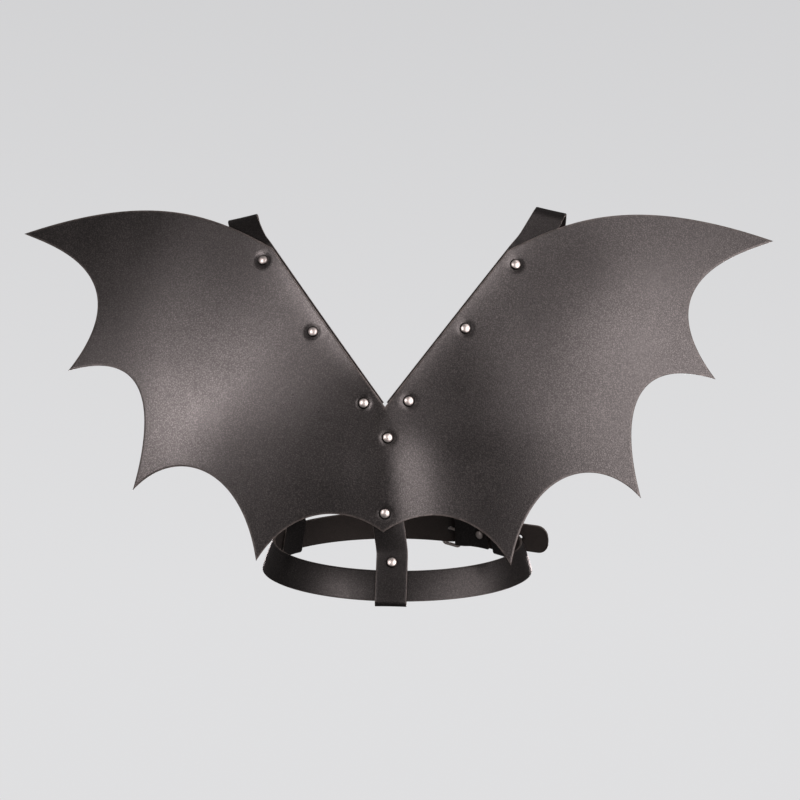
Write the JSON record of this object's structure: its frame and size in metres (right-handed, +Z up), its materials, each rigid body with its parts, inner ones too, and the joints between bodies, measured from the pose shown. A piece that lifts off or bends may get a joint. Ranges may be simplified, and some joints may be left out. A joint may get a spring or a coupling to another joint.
{
  "type": "bat wing harness",
  "caption": "Black leather bat wing harness worn on the back: a scalloped wing panel riveted to shoulder straps and a centre strap on a buckled waist belt.",
  "frame": {"origin": "on the panel's centre line between the two shoulder straps, level with the mean of their undersides where they cross the shoulders", "axes": "+Z up, +X the wearer's right, +Y the way the wearer faces, so the wings lie on the -Y side"},
  "size_m": [0.759, 0.2038, 0.3895],
  "materials": {
    "wing_leather": "black fine-grained leather, semi-gloss, dark burnished cut edges",
    "strap_leather": "black strap leather, semi-gloss, dark cut edges",
    "rivet_metal": "bright nickel-plated steel"
  },
  "bodies": {
    "root": {"wing_panel": "wing_leather", "shoulder_strap_left": "strap_leather", "shoulder_strap_right": "strap_leather", "centre_strap": "strap_leather", "belt": "strap_leather", "belt_buckle": "rivet_metal", "rivet_left_low": "rivet_metal", "rivet_left_mid": "rivet_metal", "rivet_left_top": "rivet_metal", "rivet_right_low": "rivet_metal", "rivet_right_mid": "rivet_metal", "rivet_right_top": "rivet_metal", "rivet_spine_top": "rivet_metal", "rivet_spine_low": "rivet_metal", "rivet_loop_centre": "rivet_metal", "rivet_loop_right": "rivet_metal", "rivet_loop_left": "rivet_metal", "rivet_belt_fold": "rivet_metal"}
  },
  "joints": []
}
